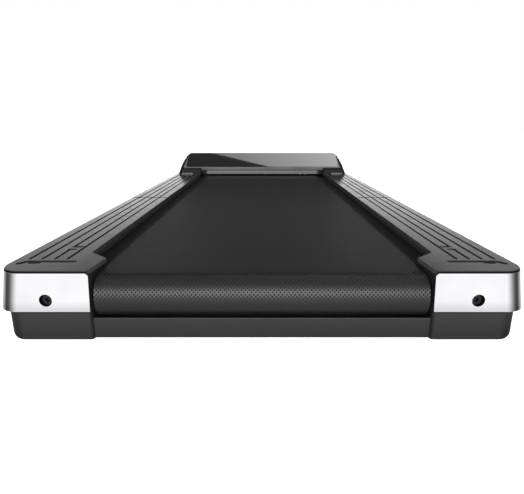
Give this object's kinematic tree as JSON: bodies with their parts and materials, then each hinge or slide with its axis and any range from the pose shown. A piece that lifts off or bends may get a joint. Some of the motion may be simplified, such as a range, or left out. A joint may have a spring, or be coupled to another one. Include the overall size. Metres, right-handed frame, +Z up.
{
  "type": "low treadmill",
  "caption": "Low treadmill: running belt between two grooved foot rails, with a motor hood and sloping console at the front.",
  "frame": {"origin": "on the floor under the middle of the treadmill", "axes": "+Y along the deck from the low rear end towards the motor hood, +X to the right of a walker who faces the hood, +Z up"},
  "size_m": [0.64, 1.3, 0.156],
  "materials": {
    "rail_grey": "satin moulded grey",
    "panel_grey": "satin moulded dark grey",
    "cap_silver": "polished satin",
    "base_dark": "fine moulded grain, dark grey",
    "hood_black": "semi-gloss black",
    "trim_grey": "satin grey lacquer",
    "console_gloss": "high gloss black",
    "accent_light": "light grey inlay",
    "belt_rubber": "diamond-weave tread",
    "black_rubber": "matte",
    "frame_paint": "powder coat",
    "bright_steel": "turned",
    "zinc_steel": "zinc plated",
    "bolt_black": "black oxide",
    "deck_board": "waxed fibreboard",
    "motor_paint": "satin black",
    "cast_alloy": "as cast and machined",
    "rotor_iron": "machined",
    "circuit_green": "solder mask",
    "inlet_black": "moulded",
    "switch_red": "gloss",
    "reset_white": "gloss",
    "wheel_grey": "moulded"
  },
  "bodies": {
    "frame": {"accent_strips": "accent_light", "bottom_pan": "base_dark", "console_frame": "trim_grey", "console_glass": "console_gloss", "control_board": "circuit_green", "crossmember_front": "frame_paint", "crossmember_middle": "frame_paint", "crossmember_rear": "frame_paint", "deck_board": "deck_board", "deck_cushions": "black_rubber", "deck_screws": "zinc_steel", "display_board": "circuit_green", "drive_belt": "black_rubber", "end_cap_left": "cap_silver", "end_cap_right": "cap_silver", "foot_pads": "black_rubber", "frame_bolts": "zinc_steel", "front_axle": "bright_steel", "front_bumper": "panel_grey", "heat_sink": "cast_alloy", "hood_lip": "trim_grey", "motor_body": "motor_paint", "motor_bracket": "frame_paint", "motor_end_bells": "cast_alloy", "motor_hood": "hood_black", "power_inlet": "inlet_black", "rail_cover_front_left": "rail_grey", "rail_cover_front_right": "rail_grey", "rail_cover_rear_left": "rail_grey", "rail_cover_rear_right": "rail_grey", "rear_foot_left": "base_dark", "rear_foot_right": "base_dark", "rear_tray": "base_dark", "running_belt": "belt_rubber", "side_frame_left": "frame_paint", "side_frame_right": "frame_paint", "side_panel_left": "panel_grey", "side_panel_right": "panel_grey", "side_skirt_left": "base_dark", "side_skirt_right": "base_dark", "tension_bracket_left": "frame_paint", "tension_bracket_right": "frame_paint", "wheel_pins": "bright_steel"},
    "rear_axle": {"rear_axle": "bright_steel"},
    "rear_roller": {"rear_roller": "bright_steel", "rear_roller_plugs": "cast_alloy", "rear_roller_bearings": "bright_steel"},
    "drive_roller": {"drive_roller": "bright_steel", "drive_roller_plugs": "cast_alloy", "drive_roller_bearings": "bright_steel", "drive_pulley": "cast_alloy"},
    "motor_rotor": {"motor_rotor": "rotor_iron", "motor_flywheel": "rotor_iron", "motor_pulley": "cast_alloy"},
    "tension_bolt_left": {"tension_bolt_left": "bolt_black"},
    "tension_bolt_right": {"tension_bolt_right": "bolt_black"},
    "transport_wheel_left": {"transport_wheel_left": "wheel_grey"},
    "transport_wheel_right": {"transport_wheel_right": "wheel_grey"},
    "power_switch": {"power_switch": "switch_red"},
    "reset_button": {"reset_button": "reset_white"}
  },
  "joints": [
    {"name": "rear_axle_tension", "type": "slide", "parent": "frame", "child": "rear_axle", "axis": [0, 1, 0], "range_m": [0, 0.008]},
    {"name": "rear_roller_spin", "type": "hinge", "parent": "rear_axle", "child": "rear_roller", "pos_m": [0, -0.622, 0.05], "axis": [1, 0, 0], "continuous": true},
    {"name": "drive_roller_spin", "type": "hinge", "parent": "frame", "child": "drive_roller", "pos_m": [0, 0.522, 0.05], "axis": [1, 0, 0], "continuous": true},
    {"name": "motor_rotor_spin", "type": "hinge", "parent": "frame", "child": "motor_rotor", "pos_m": [-0.1, 0.596, 0.06], "axis": [1, 0, 0], "continuous": true},
    {"name": "tension_bolt_left_turn", "type": "hinge", "parent": "frame", "child": "tension_bolt_left", "pos_m": [-0.2558, -0.622, 0.05], "axis": [0, 1, 0], "range_deg": [-2310, 0]},
    {"name": "tension_bolt_right_turn", "type": "hinge", "parent": "frame", "child": "tension_bolt_right", "pos_m": [0.2558, -0.622, 0.05], "axis": [0, 1, 0], "range_deg": [-2310, 0]},
    {"name": "transport_wheel_left_spin", "type": "hinge", "parent": "frame", "child": "transport_wheel_left", "pos_m": [-0.284, 0.612, 0.025], "axis": [1, 0, 0], "continuous": true},
    {"name": "transport_wheel_right_spin", "type": "hinge", "parent": "frame", "child": "transport_wheel_right", "pos_m": [0.284, 0.612, 0.025], "axis": [1, 0, 0], "continuous": true},
    {"name": "power_switch_rock", "type": "hinge", "parent": "frame", "child": "power_switch", "pos_m": [0.166, 0.6435, 0.062], "axis": [1, 0, 0], "range_deg": [-18, 0]},
    {"name": "reset_button_press", "type": "slide", "parent": "frame", "child": "reset_button", "axis": [0, -1, 0], "range_m": [0, 0.002], "stiffness_N_per_m": 300, "springref_m": -0.001}
  ],
  "couplings": [
    {"joint": "rear_roller_spin", "follows": "drive_roller_spin", "ratio": 1},
    {"joint": "motor_rotor_spin", "follows": "drive_roller_spin", "ratio": 2.5},
    {"joint": "tension_bolt_left_turn", "follows": "rear_axle_tension", "rad_per_m": -5026.5},
    {"joint": "tension_bolt_right_turn", "follows": "rear_axle_tension", "rad_per_m": -5026.5}
  ]
}
